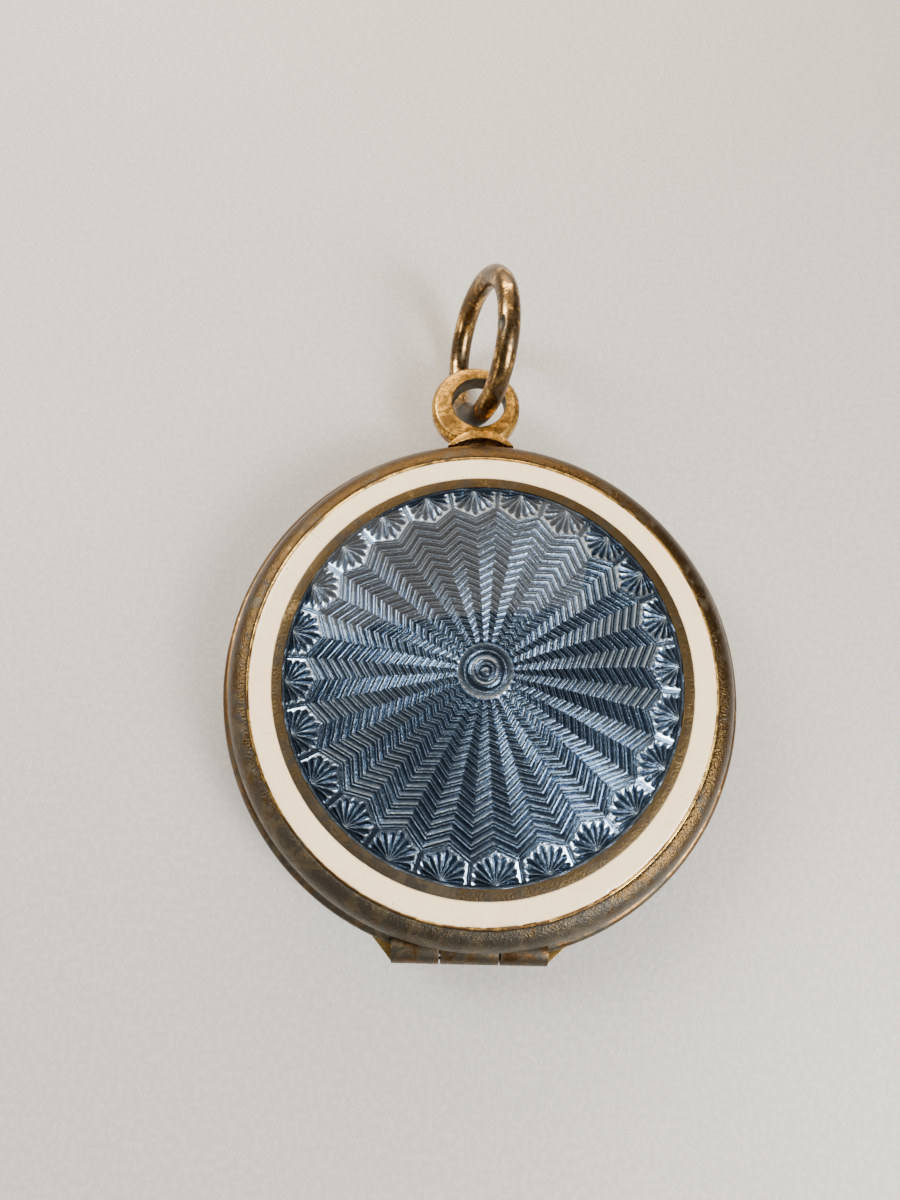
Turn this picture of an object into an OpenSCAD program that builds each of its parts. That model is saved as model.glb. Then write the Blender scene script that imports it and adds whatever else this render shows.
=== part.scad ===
// Round silver-gilt pill box with an enamelled lid, worn on a chain by its link.
// It lies on its back: the underside is z = 0, the hinge is at -Y and the link at +Y.

/* [Base] */
// Largest radius of the case
case_r = 14.95; // [13.5:0.05:18]
// Height of the base, up to the seam with the lid
base_h = 4.34; // [4:0.02:6]
// Thickness of the band at its widest
band_t = 1.55; // [1.4:0.05:1.8]
// How far the rounding under the band runs in
under_w = 2.05; // [1:0.05:2.3]
// How far the rounding under the band runs up
under_h = 3.2; // [2:0.05:3.4]
// Rounding of the band's top edge
band_round = 0.4; // [0.2:0.05:0.6]
// Thickness of the floor
floor_t = 0.8; // [0.6:0.05:1.2]
// Width and depth of the step that the floor seats on
floor_step = 0.5; // [0.3:0.05:0.55]
// Wall of the collar that the lid snaps over
collar_t = 0.5; // [0.3:0.05:0.8]
// How far the collar stands above the seam
collar_rise = 0.96; // [0.6:0.02:1.4]

/* [Lid] */
// How much smaller the lid is than the case at the seam
lid_step = 0.53; // [0.2:0.01:0.8]
// Straight height of the lid's edge
lid_edge = 0.12; // [0.1:0.01:0.4]
// Width of the rounded rim, seen from above
rim_w = 1.37; // [1.2:0.01:1.8]
// Thickness of the lining inside the lid
lining_t = 0.25; // [0.2:0.01:0.5]
// Thickness of the engine-turned plate
plate_t = 0.22; // [0.2:0.01:0.4]
// Depth of the enamel beside the fences
enamel_t = 0.32; // [0.25:0.01:0.5]
// Width of the outer fence
outer_fence_w = 0.12; // [0.1:0.01:0.3]
// Width of the white enamel
white_w = 1.25; // [0.8:0.01:2]
// Width of the inner fence
inner_fence_w = 0.58; // [0.3:0.01:1]
// How far both fences stand proud of the enamel
fence_proud = 0.04; // [0.02:0.01:0.1]
// Rise of the blue dome from its edge to its middle
dome_rise = 1.28; // [0.6:0.02:1.8]

/* [Hinge] */
// Radius of the barrel
barrel_r = 0.8; // [0.66:0.02:0.96]
// Radius of the pin
pin_r = 0.35; // [0.25:0.01:0.45]
// Length of the middle knuckle
mid_knuckle = 3.0; // [2:0.1:4]
// Length of each outer knuckle
end_knuckle = 2.5; // [1.6:0.1:3]
// How far the barrel stands out of the case
barrel_proud = 0.21; // [0.15:0.01:0.3]
// Depth of the hinge axis below the seam
hinge_drop = 0.49; // [0.45:0.01:0.6]
// Sideways place of the hinge, as hand-fitted
hinge_x = -0.45; // [-0.6:0.05:0.6]
// How far the bed tapers out beyond the knuckles
bed_taper = 1.1; // [0.8:0.05:1.6]
// How far the bed's face lies inside the barrel's outer line
bed_inset = 0.1; // [0.05:0.01:0.14]
// Depth of the bed below the axis
bed_h = 0.65; // [0.4:0.05:0.65]

/* [Bail] */
// Sideways place of the saddle
bail_x = -0.25; // [-0.6:0.05:0.6]
// Half the saddle's width, over its feet
saddle_w = 2.1; // [1.6:0.05:2.6]
// Length of each foot on the case
saddle_foot = 0.4; // [0.3:0.05:0.6]
// Thickness of the saddle in its middle
saddle_t = 0.58; // [0.4:0.02:0.8]
// Gap under the saddle's arch
saddle_gap = 0.41; // [0.2:0.01:0.6]
// Height of the saddle's strip
saddle_h = 1.7; // [1.3:0.05:2]
// Outer radius of the eye
eye_r = 2.89; // [2.5:0.05:3.3]
// Radius of the eye's hole
eye_hole_r = 1.71; // [1.4:0.01:2.06]
// Thickness of the eye
eye_t = 1.3; // [0.9:0.05:1.5]
// Bevel round the eye's rim
eye_bevel = 0.29; // [0.1:0.01:0.4]
// How far the eye's rim sinks into the saddle
eye_sink = 1.01; // [0.6:0.01:1.2]
// Sideways place of the eye from the saddle
eye_dx = -0.37; // [-0.5:0.01:0.5]
// Offset of the hole from the eye's middle, both ways
hole_offset = 0.2; // [0:0.01:0.25]

/* [Link] */
// Radius of the link, to the middle of its wire
link_r = 4.35; // [4:0.05:4.8]
// Radius of the link's wire
wire_r = 0.7; // [0.5:0.01:0.85]
// Lean of the link from upright, to the right
link_lean = 18.1; // [10:0.1:22]
// Turn of the link about the vertical
link_turn = 3.3; // [0:0.1:6]
// Sideways place of the link from the hole's middle
link_dx = 0.07; // [0:0.01:0.12]

/* [Clearances] */
// Radial clearance between collar and lid
snap_gap = 0.08; // [0.06:0.01:0.15]
// Height of the seam between base and lid
seam_gap = 0.04; // [0.02:0.01:0.1]
// Space over the collar, under the lining
head_gap = 0.15; // [0.1:0.01:0.4]
// Gap between the link's wire and the hole's edge nearest the case
link_gap = 0.39; // [0.3:0.01:0.45]
// Radial clearance of the middle knuckle on the pin
pin_gap = 0.03; // [0.02:0.01:0.06]
// Gap between neighbouring knuckles
knuckle_gap = 0.14; // [0.08:0.01:0.25]
// Clearance of the notches round the barrel
notch_gap = 0.06; // [0.04:0.01:0.1]

/* [Hidden] */
$fn = 180;
arc_steps = 14;
over = 1; // how far a cutting shape runs past what it cuts

// radii, from the outside in
band_in_r = case_r - band_t;
collar_in_r = band_in_r - collar_t;
lid_r = case_r - lid_step;
panel_r = lid_r - rim_w;
white_r = panel_r - outer_fence_w;
inner_fence_r = white_r - white_w;
blue_r = inner_fence_r - inner_fence_w;

// heights, from the seam up
collar_top = base_h + collar_rise;
lid_low = base_h + seam_gap;
lining_z = collar_top + head_gap;
plate_z = lining_z + lining_t;
enamel_z = plate_z + plate_t;
enamel_top = enamel_z + enamel_t;
rim_top = enamel_top + fence_proud / 2;

// the domes of the plate and the blue enamel are parts of one sphere's curve
dome_r = (blue_r * blue_r + dome_rise * dome_rise) / (2 * dome_rise);
blue_sunk = 0.02; // the blue enamel's edge lies a little under the fences
function dome_z(r) = sqrt(dome_r * dome_r - r * r) - (dome_r - dome_rise);

// hinge
hinge_y = -(case_r + barrel_proud - barrel_r);
hinge_z = base_h - hinge_drop;
notch_r = barrel_r + notch_gap;
mid_half = mid_knuckle / 2;
barrel_half = mid_half + knuckle_gap + end_knuckle;
bed_y = -(case_r + barrel_proud - bed_inset);

// bail
saddle_top = base_h - seam_gap;
saddle_y = case_r + saddle_gap + saddle_t;
eye_z = saddle_top - saddle_h / 2;
eye_x = bail_x + eye_dx;
eye_y = saddle_y + eye_r - eye_sink;
hole_x = eye_x + hole_offset;
hole_y = eye_y + hole_offset;

// link: it stands on its lowest point, leaning in the eye's hole
link_z = link_r * cos(link_lean) + wire_r;
wire_back = eye_hole_r - wire_r - link_gap; // how far behind the hole's middle the wire passes
link_y = hole_y - wire_back + sqrt(link_r ^ 2 - ((link_z - eye_z) / cos(link_lean)) ^ 2);

// height of the case's circle over a chord point
function on_case(x) = sqrt(case_r * case_r - x * x);

// points of an elliptical arc about (cx, cz), from angle a to angle b
function arc(cx, cz, rx, rz, a, b) =
    [for (i = [0 : arc_steps]) let (t = a + (b - a) * i / arc_steps) [cx + rx * cos(t), cz + rz * sin(t)]];

// points of the dome's curve, lowered by drop, from its middle to radius r
function dome_out(r, drop) = [for (i = [0 : arc_steps]) let (x = r * i / arc_steps) [x, dome_z(x) - drop]];
function dome_in(r, drop) = [for (i = [arc_steps : -1 : 0]) let (x = r * i / arc_steps) [x, dome_z(x) - drop]];

// a disc whose upright edge follows the case's outside, rounded below and above
function case_profile() = concat([[0, 0]],
    arc(case_r - under_w, under_h, under_w, under_h, -90, 0),
    arc(case_r - band_round, base_h - band_round, band_round, band_round, 0, 90),
    [[0, base_h]]);

function lid_profile() = concat([[0, lid_low]],
    arc(panel_r, lid_low + lid_edge, lid_r - panel_r, rim_top - lid_low - lid_edge, 0, 90),
    [[0, rim_top]]);

module ring(outer, inner, low, high) {
    translate([0, 0, low]) difference() {
        cylinder(r = outer, h = high - low);
        translate([0, 0, -over]) cylinder(r = inner, h = high - low + 2 * over);
    }
}

module along_hinge(r, from, to) {
    translate([hinge_x + from, hinge_y, hinge_z]) rotate([0, 90, 0]) cylinder(r = r, h = to - from);
}

module knuckle(from, to, bore) {
    difference() {
        along_hinge(barrel_r, from, to);
        along_hinge(bore, from - over, to + over);
    }
}

// the circle through (-w, y0), (0, y1) and (w, y0)
module arch_disc(w, y0, y1) {
    rise = y1 - y0;
    r = (w * w + rise * rise) / (2 * rise);
    translate([bail_x, y1 - r]) circle(r = r);
}

module saddle_outline() {
    arch_disc(saddle_w, on_case(saddle_w), saddle_y);
}

module base_floor() {
    color("goldenrod") {
        cylinder(r = band_in_r - floor_step, h = floor_step);
        translate([0, 0, floor_step]) cylinder(r = band_in_r, h = floor_t - floor_step);
    }
}

module base_band() {
    color("darkgoldenrod") difference() {
        rotate_extrude() polygon(case_profile());
        translate([0, 0, -over]) cylinder(r = band_in_r - floor_step, h = base_h + 2 * over);
        translate([0, 0, floor_step]) cylinder(r = band_in_r, h = base_h);
        along_hinge(barrel_r, -barrel_half, barrel_half);
        along_hinge(notch_r, -mid_half - knuckle_gap, mid_half + knuckle_gap);
    }
}

module snap_collar() {
    color("gold") difference() {
        ring(band_in_r, collar_in_r, floor_t, collar_top);
        along_hinge(notch_r, -barrel_half, barrel_half);
    }
}

// a tapering wing runs from the barrel's end to the case and on into it
module hinge_bed() {
    $fn = 720; // the bed is a sliver beside the case's circle
    function wing(side) =
        let (x = hinge_x + side * (barrel_half + bed_taper), tip = [hinge_x + side * barrel_half, bed_y])
        tip + 1.5 * ([x, -on_case(x)] - tip);
    color("darkgoldenrod") difference() {
        translate([0, 0, hinge_z - bed_h]) linear_extrude(bed_h) polygon([
            wing(-1), [hinge_x - barrel_half, bed_y], [hinge_x + barrel_half, bed_y], wing(1)]);
        cylinder(r = case_r, h = base_h);
        along_hinge(barrel_r, -barrel_half, barrel_half);
        along_hinge(notch_r, -mid_half - knuckle_gap, mid_half + knuckle_gap);
    }
}

module knuckle_left() {
    color("peru") knuckle(-barrel_half, -mid_half - knuckle_gap, pin_r);
}

module knuckle_right() {
    color("peru") knuckle(mid_half + knuckle_gap, barrel_half, pin_r);
}

module knuckle_middle() {
    color("sandybrown") knuckle(-mid_half, mid_half, pin_r + pin_gap);
}

module hinge_pin() {
    color("saddlebrown") along_hinge(pin_r, -barrel_half, barrel_half);
}

module bail_saddle() {
    foot_x = saddle_w - saddle_foot;
    color("gold") translate([0, 0, saddle_top - saddle_h]) linear_extrude(saddle_h) difference() {
        saddle_outline();
        arch_disc(foot_x, on_case(foot_x), case_r + saddle_gap);
        circle(r = case_r);
    }
}

module bail_eye() {
    half = eye_t / 2;
    color("goldenrod") difference() {
        translate([eye_x, eye_y, eye_z]) rotate_extrude() polygon([
            [0, -half], [eye_r - eye_bevel, -half], [eye_r, eye_bevel - half],
            [eye_r, half - eye_bevel], [eye_r - eye_bevel, half], [0, half]]);
        translate([hole_x, hole_y, eye_z - eye_t]) cylinder(r = eye_hole_r, h = 2 * eye_t);
        translate([0, 0, eye_z - eye_t]) linear_extrude(2 * eye_t) saddle_outline();
    }
}

module link() {
    color("peru") translate([hole_x + link_dx, link_y, link_z])
        rotate([0, 90 + link_lean, link_turn]) rotate_extrude() translate([link_r, 0]) circle(r = wire_r, $fn = 48);
}

module lid_rim() {
    color("darkgoldenrod") difference() {
        rotate_extrude() polygon(lid_profile());
        translate([0, 0, lid_low - over]) cylinder(r = band_in_r + snap_gap, h = plate_z - lid_low + over);
        translate([0, 0, lid_low]) cylinder(r = panel_r, h = rim_top);
        along_hinge(notch_r, -barrel_half - knuckle_gap, -mid_half);
        along_hinge(barrel_r, -mid_half, mid_half);
        along_hinge(notch_r, mid_half, barrel_half + knuckle_gap);
    }
}

module lid_lining() {
    color("gold") translate([0, 0, lining_z]) cylinder(r = band_in_r + snap_gap, h = lining_t);
}

// shell under the dome: thick is measured straight down
module engine_turned_plate() {
    color("silver") {
        rotate_extrude() polygon(concat(
            [for (p = dome_out(blue_r, 0)) p + [0, enamel_z]],
            [for (p = dome_in(blue_r, 0)) p + [0, plate_z]]));
        ring(panel_r, blue_r, plate_z, enamel_z);
    }
}

module outer_fence() {
    color("gold") ring(panel_r, white_r, enamel_z, enamel_top + fence_proud);
}

module white_enamel() {
    color("ivory") ring(white_r, inner_fence_r, enamel_z, enamel_top);
}

module inner_fence() {
    color("goldenrod") ring(inner_fence_r, blue_r, enamel_z, enamel_top + fence_proud);
}

module blue_enamel() {
    color("steelblue") rotate_extrude() polygon(concat(
        [for (p = dome_out(blue_r, blue_sunk)) p + [0, enamel_top]],
        [for (p = dome_in(blue_r, 0)) p + [0, enamel_z]]));
}

base_floor();
base_band();
snap_collar();
hinge_bed();
knuckle_left();
knuckle_right();
hinge_pin();
bail_saddle();
bail_eye();
link();
lid_rim();
knuckle_middle();
lid_lining();
engine_turned_plate();
outer_fence();
white_enamel();
inner_fence();
blue_enamel();
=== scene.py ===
import math

import bpy
from mathutils import Euler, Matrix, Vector, noise


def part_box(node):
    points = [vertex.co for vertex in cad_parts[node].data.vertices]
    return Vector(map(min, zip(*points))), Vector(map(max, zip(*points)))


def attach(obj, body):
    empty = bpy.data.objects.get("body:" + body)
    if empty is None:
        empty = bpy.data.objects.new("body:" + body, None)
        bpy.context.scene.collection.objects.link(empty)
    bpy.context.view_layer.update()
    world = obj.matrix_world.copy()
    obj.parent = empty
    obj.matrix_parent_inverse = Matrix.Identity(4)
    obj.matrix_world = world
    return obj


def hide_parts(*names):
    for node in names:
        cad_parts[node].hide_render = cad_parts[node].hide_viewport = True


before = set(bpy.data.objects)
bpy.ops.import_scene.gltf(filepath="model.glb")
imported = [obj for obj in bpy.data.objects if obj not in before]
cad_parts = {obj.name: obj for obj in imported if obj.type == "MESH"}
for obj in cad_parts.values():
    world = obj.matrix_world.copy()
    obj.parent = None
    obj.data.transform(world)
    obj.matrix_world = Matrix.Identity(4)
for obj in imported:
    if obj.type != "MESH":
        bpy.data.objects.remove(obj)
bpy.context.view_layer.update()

# A silver-gilt pill box with an engine-turned enamel lid: its pieces as they look.
# Sizes are in millimetres up to the mesh calls, which take metres.
mm = 0.001
weld = 0.002 * mm    # points closer than this are made one
axis = 0.001         # radius of a ring that closes on the axis


def span(node):
    low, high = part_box(node)
    return low / mm, high / mm


# what the frame gives: radii from the outside in
caseR = span("base_band")[1].x
lidR = span("lid_rim")[1].x
collarR = span("snap_collar")[1].x
boreR = span("lid_lining")[1].x
panelR = span("outer_fence")[1].x
whiteR = span("white_enamel")[1].x
innerFenceR = span("inner_fence")[1].x
blueR = span("blue_enamel")[1].x

# and heights from the table up
seamZ = span("base_band")[1].z
liningTop = span("lid_lining")[1].z
plateZ = span("engine_turned_plate")[0].z
enamelZ = span("white_enamel")[0].z
domeRise = span("engine_turned_plate")[1].z - enamelZ
domeR = (blueR * blueR + domeRise * domeRise) / (2 * domeRise)


def domeZ(r):
    # the dome's rise at radius r, over its own edge
    return math.sqrt(domeR * domeR - r * r) - (domeR - domeRise)


def domeRings(edgeZ, steps):
    # the dome's outline from the axis out, with its edge at edgeZ
    return [(max(axis, blueR * i / steps), edgeZ + domeZ(blueR * i / steps)) for i in range(steps + 1)]


def clearSelection():
    for item in bpy.context.selected_objects:
        item.select_set(False)


def pick(piece):
    clearSelection()
    piece.select_set(True)
    bpy.context.view_layer.objects.active = piece


def arc(cx, cz, rx, rz, start, end, steps):
    # points of an elliptical arc, its angles in degrees
    turns = [math.radians(start + (end - start) * i / steps) for i in range(steps + 1)]
    return [(cx + rx * math.cos(turn), cz + rz * math.sin(turn)) for turn in turns]


def drawRing(outline):
    # the selected ring is extruded from point to point of the outline
    for (r0, z0), (r1, z1) in zip(outline, outline[1:]):
        bpy.ops.mesh.extrude_region_move(TRANSFORM_OT_translate={"value": (0, 0, (z1 - z0) * mm)})
        bpy.ops.transform.resize(value=(r1 / r0, r1 / r0, 1), center_override=(0, 0, 0))


def closeUp():
    bpy.ops.mesh.select_all(action="SELECT")
    bpy.ops.mesh.remove_doubles(threshold=weld)
    bpy.ops.mesh.normals_make_consistent(inside=False)
    bpy.ops.object.mode_set(mode="OBJECT")


def turned(name, outline, steps=240):
    # lathe work about the upright axis; an outline that starts off the axis is closed
    if outline[0][0] > axis:
        outline = outline + [outline[0]]
    clearSelection()
    bpy.ops.mesh.primitive_circle_add(vertices=steps, radius=outline[0][0] * mm, location=(0, 0, 0))
    piece = bpy.context.object
    piece.name = name
    bpy.ops.object.mode_set(mode="EDIT")
    bpy.ops.mesh.select_all(action="SELECT")
    bpy.ops.transform.translate(value=(0, 0, outline[0][1] * mm))
    drawRing(outline)
    closeUp()
    return piece


def place(piece, location=(0, 0, 0), rotation=(0, 0, 0)):
    # puts a piece where it goes, and its place into its mesh
    piece.location = Vector(location) * mm
    piece.rotation_euler = [math.radians(angle) for angle in rotation]
    pick(piece)
    bpy.ops.object.transform_apply(location=True, rotation=True, scale=True)
    return piece


def applyAll(piece):
    pick(piece)
    for modifier in list(piece.modifiers):
        bpy.ops.object.modifier_apply(modifier=modifier.name)


def cut(piece, cutter):
    modifier = piece.modifiers.new("cut", "BOOLEAN")
    modifier.operation = "DIFFERENCE"
    modifier.solver = "EXACT"
    modifier.object = cutter
    applyAll(piece)
    bpy.data.objects.remove(cutter)


def worn(piece, depth, patch):
    # hand finishing leaves a surface a little untrue, and only ever inwards
    normals = [vertex.normal.copy() for vertex in piece.data.vertices]
    for vertex, normal in zip(piece.data.vertices, normals):
        share = 0.5 + 0.5 * noise.noise(vertex.co / (patch * mm))
        vertex.co -= normal * share * depth * mm


def smooth(piece, angle=32):
    pick(piece)
    bpy.ops.object.shade_smooth_by_angle(angle=math.radians(angle))


def softened(node, name, width, segments):
    # the node's own shape with its edges rounded by hand
    piece = bpy.data.objects.new(name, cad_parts[node].data.copy())
    bpy.context.scene.collection.objects.link(piece)
    pick(piece)
    bpy.ops.object.mode_set(mode="EDIT")
    bpy.ops.mesh.select_all(action="SELECT")
    bpy.ops.mesh.remove_doubles(threshold=weld)
    bpy.ops.mesh.dissolve_limited(angle_limit=math.radians(1))
    bpy.ops.object.mode_set(mode="OBJECT")
    modifier = piece.modifiers.new("edge", "BEVEL")
    modifier.width = width * mm
    modifier.segments = segments
    modifier.limit_method = "ANGLE"
    modifier.angle_limit = math.radians(40)
    applyAll(piece)
    smooth(piece)
    return piece


def finishPiece(piece, body, node, finish):
    piece.data.materials.clear()
    piece.data.materials.append(finish)
    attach(piece, body)
    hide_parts(node)


class Wire:
    # one output of a node; sums written on wires become Math nodes
    def __init__(self, finish, socket):
        self.finish = finish
        self.socket = socket

    def math(self, operation, first, second):
        return self.finish.node("ShaderNodeMath", {"operation": operation}, {0: first, 1: second})

    def __add__(self, other):
        return self.math("ADD", self, other)

    def __radd__(self, other):
        return self.math("ADD", other, self)

    def __sub__(self, other):
        return self.math("SUBTRACT", self, other)

    def __rsub__(self, other):
        return self.math("SUBTRACT", other, self)

    def __mul__(self, other):
        return self.math("MULTIPLY", self, other)

    def __rmul__(self, other):
        return self.math("MULTIPLY", other, self)


class Finish:
    # the nodes of a new material, or of the studio's walls
    def __init__(self, name, owner=None):
        self.owner = owner or bpy.data.materials.new(name)
        self.owner.use_nodes = True
        self.tree = self.owner.node_tree
        self.tree.nodes.clear()

    def node(self, kind, settings=None, inputs=None, output=0):
        # a node of any kind: its settings, then the values or wires of its sockets
        made = self.tree.nodes.new(kind)
        for key, value in (settings or {}).items():
            if key == "stops":
                ramp = made.color_ramp.elements
                while len(ramp) < len(value):
                    ramp.new(1)
                for stop, (spot, colour) in zip(ramp, value):
                    stop.position = spot
                    stop.color = (*colour, 1)
            else:
                setattr(made, key, value)
        for key, value in (inputs or {}).items():
            if isinstance(value, Wire):
                self.tree.links.new(value.socket, made.inputs[key])
            else:
                made.inputs[key].default_value = value
        return Wire(self, made.outputs[output]) if made.outputs else None

    def done(self, surface, output="ShaderNodeOutputMaterial"):
        self.node(output, inputs={0: surface})
        return self.owner

    def spot(self):
        return self.node("ShaderNodeTexCoord", output="Object")

    def split(self):
        # the three coordinates of a place on the piece, in millimetres
        first = self.node("ShaderNodeSeparateXYZ", inputs={0: self.spot()})
        return [Wire(self, out) * (1 / mm) for out in first.socket.node.outputs]

    def away(self, x, y):
        return self.node("ShaderNodeMath", {"operation": "SQRT"}, {0: x * x + y * y})

    def noise(self, size, detail=3, rough=0.55, where=None, warp=0):
        # noise whose lumps are about size millimetres
        inputs = {"Vector": where or self.spot(), "Scale": 1 / (size * mm), "Detail": detail,
                  "Roughness": rough, "Distortion": warp}
        return self.node("ShaderNodeTexNoise", inputs=inputs)

    def rise(self, value, low, high):
        # 0 below low, 1 above high, with a soft step between
        inputs = {"Value": value, "From Min": low, "From Max": high}
        return self.node("ShaderNodeMapRange", {"interpolation_type": "SMOOTHSTEP"}, inputs)

    def mix(self, share, first, second):
        inputs = {0: share}
        for key, colour in ((6, first), (7, second)):
            inputs[key] = colour if isinstance(colour, Wire) else (*colour, 1)
        return self.node("ShaderNodeMix", {"data_type": "RGBA"}, inputs, 2)

    def bump(self, height, depth, under=None):
        inputs = {"Height": height, "Distance": depth * mm}
        if under:
            inputs["Normal"] = under
        return self.node("ShaderNodeBump", inputs=inputs)

    def metal(self, colour, rough, normal, metallic=1.0):
        return self.done(self.node("ShaderNodeBsdfPrincipled", inputs={
            "Base Color": colour, "Metallic": metallic, "Roughness": rough, "Normal": normal}))


gilt = {
    "gold": (0.49, 0.28, 0.095),
    "bronze": (0.118, 0.063, 0.025),
    "soot": (0.036, 0.028, 0.018),
    "olive": (0.068, 0.049, 0.025),
    "patch": 2.2,          # lumps of tarnish
    "fleck": 0.5,
    "patchShare": 0.62,    # what the lumps count for beside the flecks
    "clean": 0.31,         # tarnish and painted shade above this is brown, and above dark it is black
    "dark": 0.5,
    "fade": (0.16, 0.14),  # softness of those two borders
    "crust": 1.1,          # lumps of olive in the black
    "toHinge": 0.1,        # how much more tarnish there is at the hinge
    "hingeWay": (0.35, 2, 15),    # its lean to the left, and from where to where it grows
    "spark": 0.08,         # worn-through specks
    "sparkSize": 0.16,
    "rough": 0.24,
    "lump": 0.6,           # how strongly the lumps and the grain stand in the relief
    "grain": 0.6,
    "grainSize": 0.11,
    "pit": 0.012,          # depth of the relief
    "brush": (3, 3, 3),    # how fine the scratches are along each way
    "brushTurn": 0,
    "scratch": 0.004,
    "pockets": (),         # painted shade in hollows, or painted glints on ends: middle, half size, share
}


def giltFinish(name, **changes):
    # worn silver-gilt: bright gold, brown where thin, near black where tarnish has settled; the listed spots
    # add painted shade or painted glints
    look = {**gilt, **changes}
    finish = Finish(name)
    x, y, z = finish.split()
    patches = finish.noise(look["patch"], 5, 0.62, warp=0.6)
    flecks = finish.noise(look["fleck"], 4, 0.6)
    grain = finish.noise(look["grainSize"], 2, 0.6)
    lean, nearest, farthest = look["hingeWay"]
    toHinge = finish.rise(0 - y - x * lean, nearest, farthest) * look["toHinge"]
    soot = patches * look["patchShare"] + flecks * (1 - look["patchShare"]) + toHinge
    # each spot paints shade into the gilt, or with a negative share paints a glint
    for middle, size, share in look["pockets"]:
        gone = [(spot - centre) * (1 / half) for spot, centre, half in zip((x, y, z), middle, size)]
        inside = 1 - finish.rise(gone[0] * gone[0] + gone[1] * gone[1] + gone[2] * gone[2], 0.96, 1.1)
        soot = soot + inside * share
    brown = finish.rise(soot, look["clean"], look["clean"] + look["fade"][0])
    dark = finish.rise(soot, look["dark"], look["dark"] + look["fade"][1])
    crust = finish.rise(finish.noise(look["crust"], 4, 0.62, warp=0.8), 0.47, 0.6)
    spark = finish.rise(finish.noise(look["sparkSize"], 2, 0.5), 0.62, 0.72) * look["spark"]
    colour = finish.mix(brown, look["gold"], look["bronze"])
    colour = finish.mix(dark, colour, finish.mix(crust, look["soot"], look["olive"]))
    colour = finish.mix(spark, colour, look["gold"])
    combed = finish.node("ShaderNodeMapping", inputs={
        "Vector": finish.spot(), "Scale": look["brush"], "Rotation": (0, 0, math.radians(look["brushTurn"]))})
    lines = finish.noise(1, 3, 0.7, where=combed)
    rough = look["rough"] + brown * 0.1 + dark * 0.14 + (grain - 0.5) * 0.12
    normal = finish.bump(grain * look["grain"] + flecks + patches * look["lump"], look["pit"])
    normal = finish.bump(lines, look["scratch"], under=normal)
    return finish.metal(colour, rough, normal, 1 - dark * 0.35)


silver = {
    # painted light by the plate's relief: painted shade at the bottom of a cut, rising to a painted highlight
    # on the lands
    "paintedReliefLight": ((0.0, (0.07, 0.1, 0.15)), (0.45, (0.16, 0.205, 0.26)), (0.75, (0.5, 0.56, 0.61)),
               (0.92, (1.0, 0.98, 0.94))),
    "haze": (0.5, 0.56, 0.6),
    "hazeSize": 3.5,
    "hazeShare": 0.12,
    "glitter": 0.085,      # size of the cuts' own sparkle
    # how much painted sparkle the glitter adds to the colour
    "paintedSparkleShare": 0.3,
    "glitterDepth": 0.012,
    "rough": (0.12, 0.18),     # a fixed part, and the sparkle's
}


def silverFinish():
    finish = Finish("engineTurnedSilver")
    relief = finish.node("ShaderNodeAttribute", {"attribute_name": "relief"}, output="Fac")
    glitter = finish.noise(silver["glitter"], 2, 0.6)
    shade = relief + (glitter - 0.5) * silver["paintedSparkleShare"]
    # painted shade in the cuts and painted highlight on the lands
    colour = finish.node("ShaderNodeValToRGB", {"stops": silver["paintedReliefLight"]}, {0: shade})
    haze = finish.rise(finish.noise(silver["hazeSize"], 3, 0.5), 0.42, 0.62) * silver["hazeShare"]
    colour = finish.mix(haze, colour, silver["haze"])
    rough = silver["rough"][0] + glitter * silver["rough"][1]
    return finish.metal(colour, rough, finish.bump(glitter, silver["glitterDepth"]))


def blueFinish():
    # clear blue enamel: the silver shows through it, and it shines like glass
    finish = Finish("clearBlueEnamel")
    wave = finish.noise(2.4, 2, 0.4)
    pits = finish.rise(finish.noise(0.22, 2, 0.5), 0.7, 0.78)
    normal = finish.bump(wave, 0.03)
    normal = finish.bump(pits, -0.006, under=normal)
    shine = finish.node("ShaderNodeFresnel", inputs={"IOR": 1.45, "Normal": normal})
    clear = finish.node("ShaderNodeBsdfTransparent", inputs={"Color": (0.78, 0.85, 0.925, 1)})
    gloss = finish.node("ShaderNodeBsdfPrincipled", inputs={
        "Base Color": (0.9, 0.95, 1, 1), "Metallic": 1.0, "Roughness": 0.06 + pits * 0.3, "Normal": normal})
    return finish.done(finish.node("ShaderNodeMixShader", inputs={0: shine, 1: clear, 2: gloss}))


cream = {
    "enamel": ((0.98, 0.75, 0.45), (0.94, 0.69, 0.39)),
    "speck": (0.3, 0.2, 0.12),
    "grime": (0.26, 0.16, 0.07),
    "crack": (0.32, 0.22, 0.13),
    "cracks": ((197, innerFenceR, whiteR - 0.35), (142, innerFenceR + 0.5, whiteR)),    # angle, from, to
    "wander": 0.22,        # how far a crack strays
    "hairline": (0.008, 0.03),
}


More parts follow.
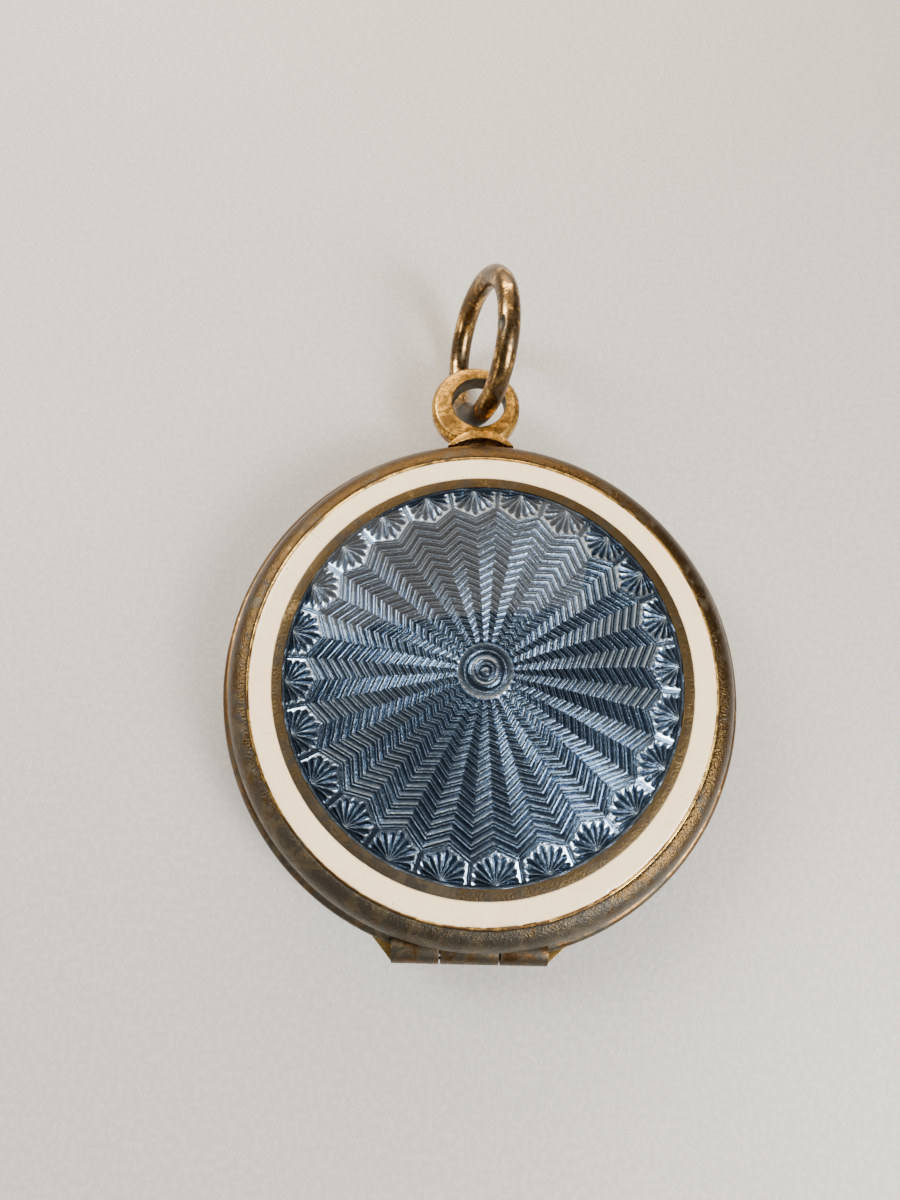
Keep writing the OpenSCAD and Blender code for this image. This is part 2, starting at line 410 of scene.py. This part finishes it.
def whiteFinish():
    # opaque cream enamel: firing specks, two hairline cracks, and grime along the metal
    finish = Finish("creamEnamel")
    x, y, z = finish.split()
    r = finish.away(x, y)
    cloud = finish.noise(1.6, 4, 0.6)
    specks = finish.rise(finish.noise(0.24, 2, 0.45), 0.715, 0.76)
    edge = finish.rise(r, whiteR - 0.1, whiteR) + (1 - finish.rise(r, innerFenceR, innerFenceR + 0.09))
    grime = edge * finish.rise(finish.noise(0.5, 3, 0.6), 0.36, 0.62)
    wander = (finish.noise(0.35, 3, 0.6) - 0.5) * cream["wander"]
    crack = 0
    for angle, inner, outer in cream["cracks"]:
        turn = math.radians(angle)
        beside = x * math.sin(turn) - y * math.cos(turn) + wander
        width = finish.node("ShaderNodeMath", {"operation": "ABSOLUTE"}, {0: beside})
        ahead = finish.rise(x * math.cos(turn) + y * math.sin(turn), inner - 0.1, inner + 0.1)
        ended = finish.rise(r, outer - 0.1, outer)
        crack = crack + (1 - finish.rise(width, *cream["hairline"])) * ahead * (1 - ended)
    colour = finish.mix(finish.rise(cloud, 0.35, 0.7), *cream["enamel"])
    colour = finish.mix(specks * 0.75, colour, cream["speck"])
    colour = finish.mix(grime * 0.6, colour, cream["grime"])
    colour = finish.mix(crack * 0.6, colour, cream["crack"])
    normal = finish.bump(finish.noise(1.1, 2, 0.4), 0.02)
    normal = finish.bump(specks + crack, -0.012, under=normal)
    return finish.done(finish.node("ShaderNodeBsdfPrincipled", inputs={
        "Base Color": colour, "Roughness": 0.16 + specks * 0.4 + grime * 0.25 + cloud * 0.08,
        "Normal": normal, "Coat Roughness": 0.04, "Coat Weight": 0.35}))


link = {
    "lean": 18.1,          # degrees from upright, to the right
    "turn": 3.3,
    "wireR": 0.7,
    "dimple": (197, 298),  # a small blank oval is pressed in: degrees round the link, and round its wire
    "dimpleSize": (0.4, 0.22, 0.12),
    "dimpleSteep": 2.5,
    "seam": (215, 0.05, 0.03),    # the soldered joint: degrees round the link, half width, depth
    "dent": (0.03, 1.3),   # depth and size of the dents all over
}
linkLow, linkHigh = span("link")
linkMiddle = (linkLow + linkHigh) / 2
linkR = (linkMiddle.z - linkLow.z - link["wireR"]) / math.cos(math.radians(link["lean"]))
linkStand = (0, 90 + link["lean"], link["turn"])
dimpleTurn, dimpleRoll = (math.radians(angle) for angle in link["dimple"])
dimpleAt = Vector((linkR + link["wireR"] * math.cos(dimpleRoll), 0, link["wireR"] * math.sin(dimpleRoll)))
dimpleAt.rotate(Euler((0, 0, dimpleTurn)))
dimpleAt.rotate(Euler([math.radians(angle) for angle in linkStand]))
dimpleAt += linkMiddle

bail = {
    "edge": 0.09,          # rounding of its edges
    "hole": (0.2, 2.69),   # the eye's hole: right of the middle of its box, and down from the top
}
eyeLow, eyeHigh = span("bail_eye")
eyeMiddle = (eyeLow + eyeHigh) / 2
eyeHole = (eyeMiddle.x + bail["hole"][0], eyeHigh.y - bail["hole"][1], eyeMiddle.z)
wingLow, wingHigh = span("hinge_bed")
# painted glints at the wing tips: a negative share lightens them to bright gold
wingTipGlints = [((end, wingLow.y, wingHigh.z), (1.3, 4, 1.6), -0.28) for end in (wingLow.x, wingHigh.x)]

print("finishes")
finishes = {
    # the rim's gold and bronze are painted darker than the band's: a painted dark reflection, on top of its
    # tarnish
    "rim": giltFinish("wornGiltRimPaintedDark", toHinge=0.16, clean=0.24, pit=0.028, grain=1.6, rough=0.19,
                      gold=(0.38, 0.225, 0.065), bronze=(0.07, 0.04, 0.015)),
    "band": giltFinish("wornGiltBand", toHinge=0.15),
    "underside": giltFinish("scratchedGiltUnderside", patch=4, clean=0.42, dark=0.6, rough=0.34,
                            fleck=0.8, brush=(0.4, 9, 1), brushTurn=24, scratch=0.03),
    "inside": giltFinish("brightGilt", clean=0.5, dark=0.74, rough=0.2, toHinge=0,
                         bronze=(0.6, 0.4, 0.18)),
    # the inner fence's darker colours are a painted dark reflection
    "fence": giltFinish("grainedGiltFencePaintedDark", fleck=0.14, pit=0.035, clean=0.28, dark=0.48, rough=0.3,
                        bronze=(0.07, 0.045, 0.02), gold=(0.26, 0.165, 0.065),
                        soot=(0.026, 0.02, 0.013), olive=(0.05, 0.036, 0.018)),
    # the outer fence's bright gold is a painted glint
    "paintedGlintFence": giltFinish("giltFencePaintedGlint", clean=0.44, dark=0.6, gold=(0.85, 0.55, 0.16)),
    "hinge": giltFinish("tarnishedGiltHinge", clean=0.3, dark=0.46, patch=1.2, toHinge=0.06),
    "pin": giltFinish("filedPin", gold=(0.5, 0.46, 0.4), bronze=(0.3, 0.26, 0.2), clean=0.4,
                      brush=(1, 9, 30)),
    # the wings' bright gold and lightened tips are painted glints
    "wings": giltFinish("wornGiltWingsPaintedGlints", clean=0.3, dark=0.46, patch=1.2, toHinge=0.06,
                        gold=(0.8, 0.48, 0.14), pockets=wingTipGlints),
    # the darker gilt round the eye's hole is painted shade
    "bail": giltFinish("polishedGiltBail", clean=0.42, dark=0.59, patch=1, gold=(0.66, 0.36, 0.075),
                       bronze=(0.2, 0.105, 0.026), toHinge=0, rough=0.24, fleck=0.25, pit=0.025,
                       brush=(1.2, 9, 2), brushTurn=40, scratch=0.02,
                       pockets=((eyeHole, (1.77, 1.77, 3), 0.35),)),
    # painted shade darkens the link in its dimple and where it passes through the eye
    "link": giltFinish("polishedGiltLink", clean=0.36, dark=0.5, patch=1.1, fleck=0.3, toHinge=0,
                       rough=0.17, gold=(0.62, 0.37, 0.12), bronze=(0.12, 0.068, 0.027),
                       pockets=((dimpleAt, (0.24, 0.42, 0.42), 0.35), (eyeHole, (2.1, 2.1, 1.6), 0.25))),
    "silver": silverFinish(),
    "white": whiteFinish(),
    "blue": blueFinish(),
}

pinLow, pinHigh = span("hinge_pin")
leftLow, leftHigh = span("knuckle_left")
middleLow, middleHigh = span("knuckle_middle")
rightLow, rightHigh = span("knuckle_right")
hinge = {
    "y": (pinLow.y + pinHigh.y) / 2,
    "z": (pinLow.z + pinHigh.z) / 2,
    "pinR": (pinHigh.z - pinLow.z) / 2,
    "barrelR": (middleHigh.z - middleLow.z) / 2,
    "notchGap": 0.06,      # air round a barrel where a wall is notched for it
    "notchEnd": 0.14,      # and past the hinge's two ends
    "close": 0.035,        # grime narrows the gap between two knuckles by this much a side
    "edge": 0.045,         # rounding of a knuckle's ends
    "pinEdge": 0.05,
    "pinCrown": 0.01,
}
notchR = hinge["barrelR"] + hinge["notchGap"]


def alongHinge(piece, start):
    # a piece turned upright is laid along the hinge, from x = start
    return place(piece, (start, hinge["y"], hinge["z"]), (0, 90, 0))


def hingeCutter(radius, start, end):
    clearSelection()
    bpy.ops.mesh.primitive_cylinder_add(vertices=72, radius=radius * mm, depth=(end - start) * mm)
    return place(bpy.context.object, ((start + end) / 2, hinge["y"], hinge["z"]), (0, 90, 0))


def knuckle(name, node, body):
    low, high = span(node)
    near = low.x if node == "knuckle_left" else low.x - hinge["close"]
    far = high.x if node == "knuckle_right" else high.x + hinge["close"]
    length = far - near
    bore = hinge["pinR"]
    outer = hinge["barrelR"]
    edge = hinge["edge"]
    outline = ([(bore, 0)] + arc(outer - edge, edge, edge, edge, -90, 0, 4)
               + arc(outer - edge, length - edge, edge, edge, 0, 90, 4) + [(bore, length)])
    piece = alongHinge(turned(name, outline, 72), near)
    worn(piece, 0.02, 0.7)
    smooth(piece)
    finishPiece(piece, body, node, finishes["hinge"])


def hingePin():
    r = hinge["pinR"]
    edge = hinge["pinEdge"]
    crown = hinge["pinCrown"]
    length = pinHigh.x - pinLow.x
    outline = ([(axis, 0), (r * 0.5, crown)] + arc(r - edge, edge + crown, edge, edge, -90, 0, 3)
               + arc(r - edge, length - edge - crown, edge, edge, 0, 90, 3)
               + [(r * 0.5, length - crown), (axis, length)])
    piece = alongHinge(turned("hingePin", outline, 48), pinLow.x)
    smooth(piece)
    finishPiece(piece, "base", "hinge_pin", finishes["pin"])


print("hinge")
knuckle("knuckleLeft", "knuckle_left", "base")
knuckle("knuckleRight", "knuckle_right", "base")
knuckle("knuckleMiddle", "knuckle_middle", "lid")
hingePin()

base = {
    "under": (2.05, 3.2),  # rounding under the band: inwards, and upwards
    "topRound": 0.4,
    "foot": 0.03,          # height of the band's lower edge
    "lip": 0.06,           # rounding of the floor's edge
    "floorStep": 0.5,      # the step where the floor sits in the band
    "scribes": ((0.69, 0.06, 0.05), (0.46, 0.04, 0.035)),    # lines round the underside: in, half width, depth
    "collarWall": 0.5,
    "collarOut": 0.16,     # rounding of the collar's top, outside and inside
    "collarIn": 0.12,
    "snap": (0.3, 0.42, 0.03),    # the collar steps in for the lid: from, to, depth
}


def baseBand():
    step = base["floorStep"]
    top = base["topRound"]
    wide, tall = base["under"]
    outline = ([(collarR - step, base["foot"])]
               + arc(caseR - wide, tall, wide, tall, -88, 0, 28)
               + arc(caseR - top, seamZ - top, top, top, 0, 90, 8)
               + [(collarR, seamZ), (collarR, step), (collarR - step, step)])
    piece = turned("baseBand", outline, 288)
    worn(piece, 0.02, 2.5)
    cut(piece, hingeCutter(hinge["barrelR"], leftLow.x, rightHigh.x))
    cut(piece, hingeCutter(notchR, leftHigh.x, rightLow.x))
    smooth(piece)
    finishPiece(piece, "base", "base_band", finishes["band"])


def baseFloor():
    high = span("base_floor")[1]
    step = base["floorStep"]
    lip = base["lip"]
    inner = high.x - step
    outline = [(axis, 0), (3, 0), (6, 0), (9, 0)]
    for back, half, depth in base["scribes"]:
        r = inner - back
        outline += [(r - half, 0), (r, depth), (r + half, 0)]
    outline += [(inner - lip, 0), (inner, lip), (inner, step), (high.x, step), (high.x, high.z),
                (high.x - 0.7, high.z), (9, high.z), (5, high.z), (axis, high.z)]
    piece = turned("baseFloor", outline, 192)
    smooth(piece)
    finishPiece(piece, "base", "base_floor", finishes["underside"])


def snapCollar():
    low, high = span("snap_collar")
    inner = collarR - base["collarWall"]
    out = base["collarOut"]
    back = base["collarIn"]
    start, end, depth = base["snap"]
    outline = ([(inner, low.z), (collarR, low.z), (collarR, seamZ + start), (collarR - depth, seamZ + end)]
               + arc(collarR - out, high.z - out, out, out, 0, 90, 6)
               + arc(inner + back, high.z - back, back, back, 90, 180, 5))
    piece = turned("snapCollar", outline, 240)
    worn(piece, 0.015, 3)
    smooth(piece)
    finishPiece(piece, "base", "snap_collar", finishes["inside"])


def hingeBed():
    piece = softened("hinge_bed", "hingeBed", 0.05, 2)
    finishPiece(piece, "base", "hinge_bed", finishes["wings"])


print("base")
baseBand()
baseFloor()
snapCollar()
hingeBed()

lid = {
    "edge": 0.12,          # straight height of the rim's edge
    "lip": 0.04,
    "step": 0.02,          # the rim's top inner edge lies this much lower
    "liningHollow": (0.04, 0.03, 0.02),    # the lining is hollow by this much, from the middle out
    "liningBorder": (1.2, 1.05, 0.1, 0.06),    # its flat border: from, full height from, to, and its lip
    "fenceRound": 0.05,
    "pillow": 0.05,        # how far the white enamel falls to its edges
    "chipDepth": 0.07,
    # each chip: its first and last angle, and how far it bites into the white enamel's edge
    "chips": ((266.5, 270.5, 0.11), (271.5, 278.5, 0.14), (279.5, 283, 0.09), (301, 302.2, 0.06),
              (118, 119.4, 0.05)),
}


def lidRim():
    low, high = span("lid_rim")
    lip = lid["lip"]
    straight = low.z + lid["edge"]
    outline = ([(boreR, low.z), (lidR - lip, low.z), (lidR, low.z + lip)]
               + arc(panelR, straight, lidR - panelR, high.z - straight, 0, 88, 26)
               + [(panelR, high.z - lid["step"]), (panelR, liningTop), (boreR, liningTop)])
    piece = turned("lidRim", outline, 288)
    worn(piece, 0.03, 2.2)
    cut(piece, hingeCutter(notchR, leftLow.x - hinge["notchEnd"], middleLow.x))
    cut(piece, hingeCutter(notchR, middleHigh.x, rightHigh.x + hinge["notchEnd"]))
    cut(piece, hingeCutter(hinge["barrelR"], middleLow.x, middleHigh.x))
    smooth(piece)
    finishPiece(piece, "lid", "lid_rim", finishes["rim"])


def lidLining():
    low, high = span("lid_lining")
    middle, half, last = lid["liningHollow"]
    start, full, end, lip = lid["liningBorder"]
    outline = [(axis, low.z + middle), (8, low.z + half), (high.x - start, low.z + last),
               (high.x - full, low.z), (high.x - end, low.z), (high.x, low.z + lip),
               (high.x, high.z), (6, high.z), (axis, high.z)]
    piece = turned("lidLining", outline, 192)
    smooth(piece)
    finishPiece(piece, "lid", "lid_lining", finishes["inside"])


def fence(name, node, inner, finish):
    low, high = span(node)
    edge = min(lid["fenceRound"], (high.x - inner) * 0.35)
    outline = ([(inner, low.z), (high.x, low.z)]
               + arc(high.x - edge, high.z - edge, edge, edge, 0, 90, 4)
               + arc(inner + edge, high.z - edge, edge, edge, 90, 180, 4))
    piece = turned(name, outline, 288)
    worn(piece, 0.012, 0.8)
    smooth(piece, 50)
    finishPiece(piece, "lid", node, finish)


def chipEdge(piece):
    # small ragged chips lower the outer edge of the white enamel
    for vertex in piece.data.vertices:
        angle = math.degrees(math.atan2(vertex.co.y, vertex.co.x)) % 360
        r = vertex.co.xy.length / mm
        for first, last, bite in lid["chips"]:
            if first < angle < last and r > whiteR - 0.15 and vertex.co.z / mm > enamelZ + 0.05:
                ragged = bite * (0.9 + 0.6 * noise.noise(vertex.co / (0.22 * mm)))
                if r > whiteR - ragged:
                    vertex.co.z -= lid["chipDepth"] * mm


def whiteEnamel():
    top = span("white_enamel")[1].z
    fall = lid["pillow"]
    outline = [(innerFenceR, enamelZ), (whiteR, enamelZ), (whiteR, top - fall),
               (whiteR - 0.03, top - fall * 0.5), (whiteR - 0.1, top - fall * 0.22),
               (whiteR - 0.25, top - 0.004), (innerFenceR + 0.62, top), (innerFenceR + 0.25, top - 0.004),
               (innerFenceR + 0.1, top - fall * 0.22), (innerFenceR + 0.03, top - fall * 0.5),
               (innerFenceR, top - fall)]
    piece = turned("whiteEnamel", outline, 720)
    chipEdge(piece)
    smooth(piece, 40)
    finishPiece(piece, "lid", "white_enamel", finishes["white"])


def blueEnamel():
    over = domeRings(span("blue_enamel")[1].z - domeRise, 36)
    under = domeRings(enamelZ, 12)
    piece = turned("blueEnamel", over + under[::-1], 240)
    smooth(piece, 60)
    finishPiece(piece, "lid", "blue_enamel", finishes["blue"])


# the engine-turned plate under the blue enamel
engraving = {
    "repeats": 24,         # fans round the edge
    "turn": 3.9,           # degrees, the middle of the first fan
    "swing": 0.04,         # how far a zigzag swings in and out, as a share of its radius
    "outerCut": 9.4,       # radius of the outermost zigzag, and where they stop
    "innerCut": 1.8,
    "pitch": (0.31, 0.028),    # width of a double cut: a fixed part and a share of its radius
    "relief": 0.11,        # height of the lands over the cuts, at the widest
    "lift": 0.012,         # how far the deepest cut lies over the plate's own top
    "chatter": (0.006, 0.19),    # height and size of the cutter's chatter
    "fanR": 10.93,         # radius of the fans' roots
    "fanStep": 5,          # degrees between two lines of points in a fan
    "petal": 20,           # degrees between two petals
    "scallop": 0.09,       # how much shorter a petal is at its sides
    # across a double cut, from its outer line inwards: share of its width, and height
    "cut": ((0, 1.0), (0.15, 0.35), (0.34, 0.92), (0.76, 0.0)),
    # along a petal, from its root: share of its length, and depth
    "petalCut": ((0, 0), (0.1, 0.3), (0.28, 0.75), (0.52, 1), (0.76, 1), (0.88, 0.1)),
    # the line that closes a fan: share of the way from its root, and height
    "fanEdge": ((0.93, 0.72), (0.965, 0.4), (1, 1)),
    # the border outside the fans, and the middle boss from its dot out: radius and height
    "border": ((10.96, 0.2), (10.98, 0.4), (blueR, 0.9)),
    "boss": ((axis, 1.0), (0.12, 0.96), (0.2, 0.72), (0.27, 0.1), (0.33, 0.15), (0.4, 0.85), (0.46, 0.85),
             (0.53, 0.2), (0.6, 0.7), (0.68, 0.95), (0.8, 0.7), (0.93, 0.1), (1.02, 0.12), (1.12, 0.95),
             (1.16, 0.95), (1.2, 0.25), (1.26, 0.5), (1.42, 0.85), (1.5, 1.0)),
}


def cutPitch(radius):
    return engraving["pitch"][0] + engraving["pitch"][1] * radius


class Sector:
    # one repeat of the engraving, the middle of its fan along +X
    def __init__(self):
        e = engraving
        self.points = []
        self.faces = []
        self.half = math.pi / e["repeats"]
        self.root = e["fanR"]
        self.valley = Vector((e["outerCut"] * (1 - e["swing"]), 0))
        self.peak = Vector((math.cos(self.half), math.sin(self.half))) * e["outerCut"] * (1 + e["swing"])
        self.toPeak = math.degrees(math.atan2(self.peak.y, self.root - self.peak.x))
        toCorner = 90 - math.degrees(self.half) / 2
        side = list(range(e["fanStep"], 90, e["fanStep"])) + [self.toPeak, toCorner]
        self.angles = sorted([-angle for angle in side] + [0] + side)

    def join(self, rows):
        # rows of (x, y, height) points, and the faces between them
        start = len(self.points)
        width = len(rows[0])
        for row in rows:
            for x, y, height in row:
                self.points.append((x * mm, y * mm, height))
        for i in range(len(rows) - 1):
            for j in range(width - 1):
                a = start + i * width + j
                self.faces.append((a, a + 1, a + width + 1, a + width))

    def reach(self, angle):
        # from a fan's root to the edge of its field: the first zigzag, or the line between two fans
        turn = math.radians(abs(angle))
        if abs(angle) < self.toPeak:
            rise = self.peak - self.valley
            return (self.root - self.valley.x) * rise.y / (math.cos(turn) * rise.y + math.sin(turn) * rise.x)
        return self.root * math.sin(self.half) / math.sin(turn + self.half)

    def fanPoint(self, angle, share):
        turn = math.radians(angle)
        length = self.reach(angle) * share
        return (self.root - length * math.cos(turn), length * math.sin(turn))

    def fan(self):
        # petals are V cuts, and a fine line runs round their ends
        petal = engraving["petal"]
        rows = []
        for share, depth in engraving["petalCut"]:
            row = []
            for angle in self.angles:
                beside = abs((angle + petal / 2) % petal - petal / 2) / (petal / 2)
                spot = self.fanPoint(angle, share * (1 - engraving["scallop"] * beside * beside))
                row.append((*spot, 1 - depth * (1 - beside)))
            rows.append(row)
        for share, height in engraving["fanEdge"]:
            rows.append([(*self.fanPoint(angle, share), height) for angle in self.angles])
        return rows

    def border(self, fan):
        # from the fan's two sides and its root out to the edge of the enamel
        chord = [row[0] for row in reversed(fan)] + [row[-1] for row in fan[1:]]
        rows = [chord]
        for ring, height in engraving["border"]:
            grow = [ring / math.hypot(x, y) for x, y, under in chord]
            rows.append([(x * g, y * g, height) for (x, y, under), g in zip(chord, grow)])
        return rows

    def zigzags(self):
        # every zigzag is the first one at a smaller scale, and the boss follows the last
        line = [self.fanPoint(angle, 1) for angle in self.angles if abs(angle) <= self.toPeak + 0.001]
        circle = [(x / math.hypot(x, y), y / math.hypot(x, y)) for x, y in line]
        rows = []
        radius = engraving["outerCut"]
        while radius > engraving["innerCut"]:
            for share, height in engraving["cut"]:
                scale = (radius - share * cutPitch(radius)) / engraving["outerCut"]
                rows.append([(x * scale, y * scale, height) for x, y in line])
            radius -= cutPitch(radius)
        for ring, height in reversed(engraving["boss"]):
            rows.append([(x * ring, y * ring, height) for x, y in circle])
        return rows


def layOnDome(mesh):
    # the heights become an attribute, 0 in the cuts and 1 on the lands, that paints their shade and highlight,
    # and the pattern is laid on the dome
    chatter, chatterSize = engraving["chatter"]
    shade = mesh.attributes.new("relief", "FLOAT", "POINT")
    for vertex in mesh.vertices:
        height = vertex.co.z
        shade.data[vertex.index].value = height
        r = min(blueR, vertex.co.xy.length / mm)
        narrow = min(1, cutPitch(r) / cutPitch(engraving["outerCut"]))
        rough = chatter * noise.noise(vertex.co / (chatterSize * mm))
        top = enamelZ + domeZ(r) + engraving["lift"]
        vertex.co.z = (top + height * narrow * engraving["relief"] + rough) * mm
        vertex.select = r > blueR - 0.005


def engineTurnedPlate():
    e = engraving
    sector = Sector()
    fan = sector.fan()
    for rows in (fan, sector.border(fan), sector.zigzags()):
        sector.join(rows)
    mesh = bpy.data.meshes.new("engineTurnedPlate")
    mesh.from_pydata(sector.points, [], sector.faces)
    piece = bpy.data.objects.new("engineTurnedPlate", mesh)
    bpy.context.scene.collection.objects.link(piece)
    pick(piece)
    bpy.ops.object.mode_set(mode="EDIT")
    bpy.ops.mesh.select_all(action="SELECT")
    copies = e["repeats"] - 1
    bpy.ops.mesh.spin(steps=copies, dupli=True, angle=2 * math.pi * copies / e["repeats"],
                      center=(0, 0, 0), axis=(0, 0, 1))
    bpy.ops.mesh.select_all(action="SELECT")
    bpy.ops.mesh.remove_doubles(threshold=weld)
    bpy.ops.object.mode_set(mode="OBJECT")
    layOnDome(mesh)

    # the outer edge goes on as the wall, the flat rim and the underside
    bpy.ops.object.mode_set(mode="EDIT")
    lip = enamelZ + e["lift"] + e["border"][-1][1] * e["relief"]
    drawRing([(blueR, lip), (blueR, enamelZ), (panelR, enamelZ), (panelR, plateZ)]
             + domeRings(plateZ, 10)[::-1])
    closeUp()
    place(piece, rotation=(0, 0, e["turn"]))
    finishPiece(piece, "lid", "engine_turned_plate", finishes["silver"])


print("lid")
lidRim()
lidLining()
fence("outerFence", "outer_fence", whiteR, finishes["paintedGlintFence"])
fence("innerFence", "inner_fence", blueR, finishes["fence"])
whiteEnamel()
blueEnamel()
print("engine turning")
engineTurnedPlate()


def pressLink(co):
    # a point of the wire, moved in where the oval, the joint and the dents are
    turn = math.atan2(co.y, co.x)
    out = Vector((math.cos(turn), math.sin(turn), 0))
    tube = co - out * linkR
    roll = math.atan2(tube.z, tube.dot(out))
    long, wide, deep = link["dimpleSize"]
    along = math.remainder(turn - dimpleTurn, 2 * math.pi) * linkR
    across = math.remainder(roll - dimpleRoll, 2 * math.pi) * link["wireR"]
    oval = max(0, 1 - (along / long) ** 2 - (across / wide) ** 2)
    seam, half, depth = link["seam"]
    joint = math.remainder(turn - math.radians(seam), 2 * math.pi) * linkR
    groove = depth * max(0, 1 - abs(joint) / half)
    dent = link["dent"][0] * (0.5 + 0.5 * noise.noise(co / link["dent"][1]))
    shrink = 1 - (deep * min(1, oval * link["dimpleSteep"]) + groove + dent) / link["wireR"]
    return out * linkR + tube * shrink


def chainLink():
    clearSelection()
    bpy.ops.mesh.primitive_torus_add(major_radius=linkR * mm, minor_radius=link["wireR"] * mm,
                                     major_segments=240, minor_segments=64, location=(0, 0, 0))
    piece = bpy.context.object
    piece.name = "chainLink"
    for vertex in piece.data.vertices:
        vertex.co = pressLink(vertex.co / mm) * mm
    place(piece, linkMiddle, linkStand)
    smooth(piece, 60)
    finishPiece(piece, "link", "link", finishes["link"])


def bailEye():
    piece = softened("bail_eye", "bailEye", bail["edge"], 3)
    worn(piece, 0.02, 0.8)
    finishPiece(piece, "base", "bail_eye", finishes["bail"])


def bailSaddle():
    piece = softened("bail_saddle", "bailSaddle", bail["edge"], 3)
    finishPiece(piece, "base", "bail_saddle", finishes["bail"])


print("bail and link")
chainLink()
bailEye()
bailSaddle()

studio = {
    "table": 600,          # side of the pale table, which lies just under the pieces
    "tableZ": -0.01,
    "paint": ((0.44, 0.405, 0.355), (0.51, 0.47, 0.415)),
    "walls": ((0.12, (0.46, 0.45, 0.43)), (0.5, (0.1, 0.1, 0.105))),    # pale low down, dim overhead
    "lens": 20.54,
    "camera": (-2.6, -5.6, 43.8),
    "cameraTurn": (14.52, -1.3, 1.48),
    # the enamel's dome would mirror these boxes, so they light all but the dome
    "flagged": ("windowBox", "sunBox", "farWindowBox"),
}
# each softbox: where it stands (degrees round from +X, degrees up, distance), its size, power and colour
softboxes = {
    "windowBox": ((-36, 42, 170), (72, 90), 0.54, (0.93, 0.97, 1)),
    "sunBox": ((-36, 44, 170), (26, 26), 0.14, (1, 0.97, 0.92)),
    "farWindowBox": ((150, 42, 170), (60, 80), 0.36, (0.94, 0.97, 1)),
    "warmBox": ((94, 26, 190), (180, 60), 0.42, (1, 0.83, 0.6)),
    "wallBox": ((98, 56, 190), (210, 90), 0.12, (1, 0.82, 0.62)),
    "sideBox": ((200, 16, 170), (30, 70), 0.05, (1, 0.88, 0.7)),
}


def tableTop():
    clearSelection()
    bpy.ops.mesh.primitive_plane_add(size=studio["table"] * mm, location=(0, 0, studio["tableZ"] * mm))
    table = bpy.context.object
    table.name = "tableTop"
    finish = Finish("paleTable")
    speckle = finish.noise(0.35, 3, 0.6)
    colour = finish.mix(finish.rise(speckle, 0.35, 0.7), *studio["paint"])
    table.data.materials.append(finish.done(finish.node("ShaderNodeBsdfPrincipled", inputs={
        "Base Color": colour, "Roughness": 0.55, "Normal": finish.bump(speckle, 0.03)})))


def studioWalls():
    finish = Finish("studio", bpy.data.worlds.new("studio"))
    facing = finish.node("ShaderNodeTexCoord", output="Generated")
    height = finish.node("ShaderNodeSeparateXYZ", inputs={0: facing}, output="Z")
    colour = finish.node("ShaderNodeValToRGB", {"stops": studio["walls"]}, {0: height})
    light = finish.node("ShaderNodeBackground", inputs={0: colour})
    bpy.context.scene.world = finish.done(light, "ShaderNodeOutputWorld")


def allButDome():
    # what a flagged box lights
    lit = bpy.data.collections.new("flagged")
    lit.objects.link(bpy.data.objects["blueEnamel"])
    lit.collection_objects[0].light_linking.link_state = "EXCLUDE"
    return lit


def softbox(name, stand, size, power, colour):
    turn, up, distance = stand
    flat = math.cos(math.radians(up))
    spot = Vector((math.cos(math.radians(turn)) * flat, math.sin(math.radians(turn)) * flat,
                   math.sin(math.radians(up)))) * distance * mm
    lamp = bpy.data.lights.new(name, "AREA")
    lamp.shape = "RECTANGLE"
    lamp.size, lamp.size_y = (side * mm for side in size)
    lamp.energy = power
    lamp.color = colour
    box = bpy.data.objects.new(name, lamp)
    box.location = spot
    box.rotation_mode = "QUATERNION"
    box.rotation_quaternion = (-spot).to_track_quat("-Z", "Y")
    bpy.context.scene.collection.objects.link(box)
    return box


def setCamera():
    camera = bpy.data.objects.new("camera", bpy.data.cameras.new("camera"))
    camera.data.lens = studio["lens"]
    camera.data.clip_start = 1 * mm
    camera.data.dof.use_dof = False
    camera.location = Vector(studio["camera"]) * mm
    camera.rotation_euler = [math.radians(angle) for angle in studio["cameraTurn"]]
    bpy.context.scene.collection.objects.link(camera)
    bpy.context.scene.camera = camera


print("table, lights and camera")
tableTop()
studioWalls()
flagged = allButDome()
for boxName, settings in softboxes.items():
    box = softbox(boxName, *settings)
    if boxName in studio["flagged"]:
        box.light_linking.receiver_collection = flagged
setCamera()

print("done")
